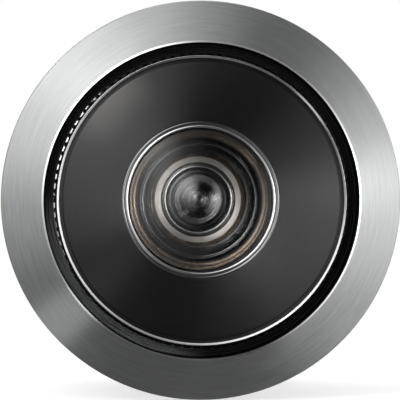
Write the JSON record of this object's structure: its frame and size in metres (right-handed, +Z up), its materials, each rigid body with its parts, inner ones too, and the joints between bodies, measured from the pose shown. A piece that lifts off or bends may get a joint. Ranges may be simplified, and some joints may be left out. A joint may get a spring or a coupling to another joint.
{
  "type": "door viewer",
  "caption": "Wide-angle door peephole with brushed bezel, dished lens housing, screw barrel, room-side rosette and swinging cover.",
  "frame": {"origin": "on the sight line, in the plane of the door's outer face, where the front gasket seats", "axes": "+Y along the barrel from the visitor's side to the room, +Z up, +X to the right of someone who stands outside and looks at the door"},
  "size_m": [0.05, 0.0568, 0.05],
  "materials": {
    "brushed_stainless": "brushed round the axis",
    "black_anodised": "satin black anodised",
    "satin_aluminium": "turned satin",
    "black_rubber": "matte",
    "optical_glass": "polished clear",
    "brass": "dulled turned brass",
    "bright_steel": "bright plated",
    "black_plastic": "matte",
    "white_nylon": "matte"
  },
  "bodies": {
    "front_assembly": {"bezel_ring": "brushed_stainless", "groove_seal": "black_rubber", "objective_housing": "black_anodised", "housing_seal": "black_rubber", "objective_ring": "black_anodised", "objective_lens": "optical_glass", "lens_seal": "black_rubber", "lens_seat_ring": "brass", "second_lens_cell": "brass", "second_lens_ring": "black_anodised", "second_lens": "optical_glass", "spacer_ring": "black_anodised", "third_lens": "optical_glass", "front_barrel": "satin_aluminium", "front_gasket": "black_rubber"},
    "rear_rosette": {"rear_rosette": "brushed_stainless", "rear_gasket": "black_rubber", "cover_washer": "white_nylon", "cover_pivot": "bright_steel"},
    "rear_barrel": {"rear_barrel": "satin_aluminium", "light_baffle": "black_plastic", "eyepiece_lens": "optical_glass", "eyepiece_ring": "black_anodised"},
    "privacy_cover": {"privacy_cover": "brushed_stainless"}
  },
  "joints": [
    {"name": "rosette_travel", "type": "slide", "parent": "front_assembly", "child": "rear_rosette", "axis": [0, 1, 0], "range_m": [-0.007, 0.0315]},
    {"name": "tube_turn", "type": "hinge", "parent": "rear_rosette", "child": "rear_barrel", "pos_m": [0, 0.045, 0], "axis": [0, 1, 0], "range_deg": [-1680, 7560]},
    {"name": "cover_swing", "type": "hinge", "parent": "rear_rosette", "child": "privacy_cover", "pos_m": [0, 0.05, 0.01855], "axis": [0, 1, 0], "continuous": true}
  ],
  "couplings": [
    {"joint": "tube_turn", "follows": "rosette_travel", "rad_per_m": 4188.8}
  ]
}
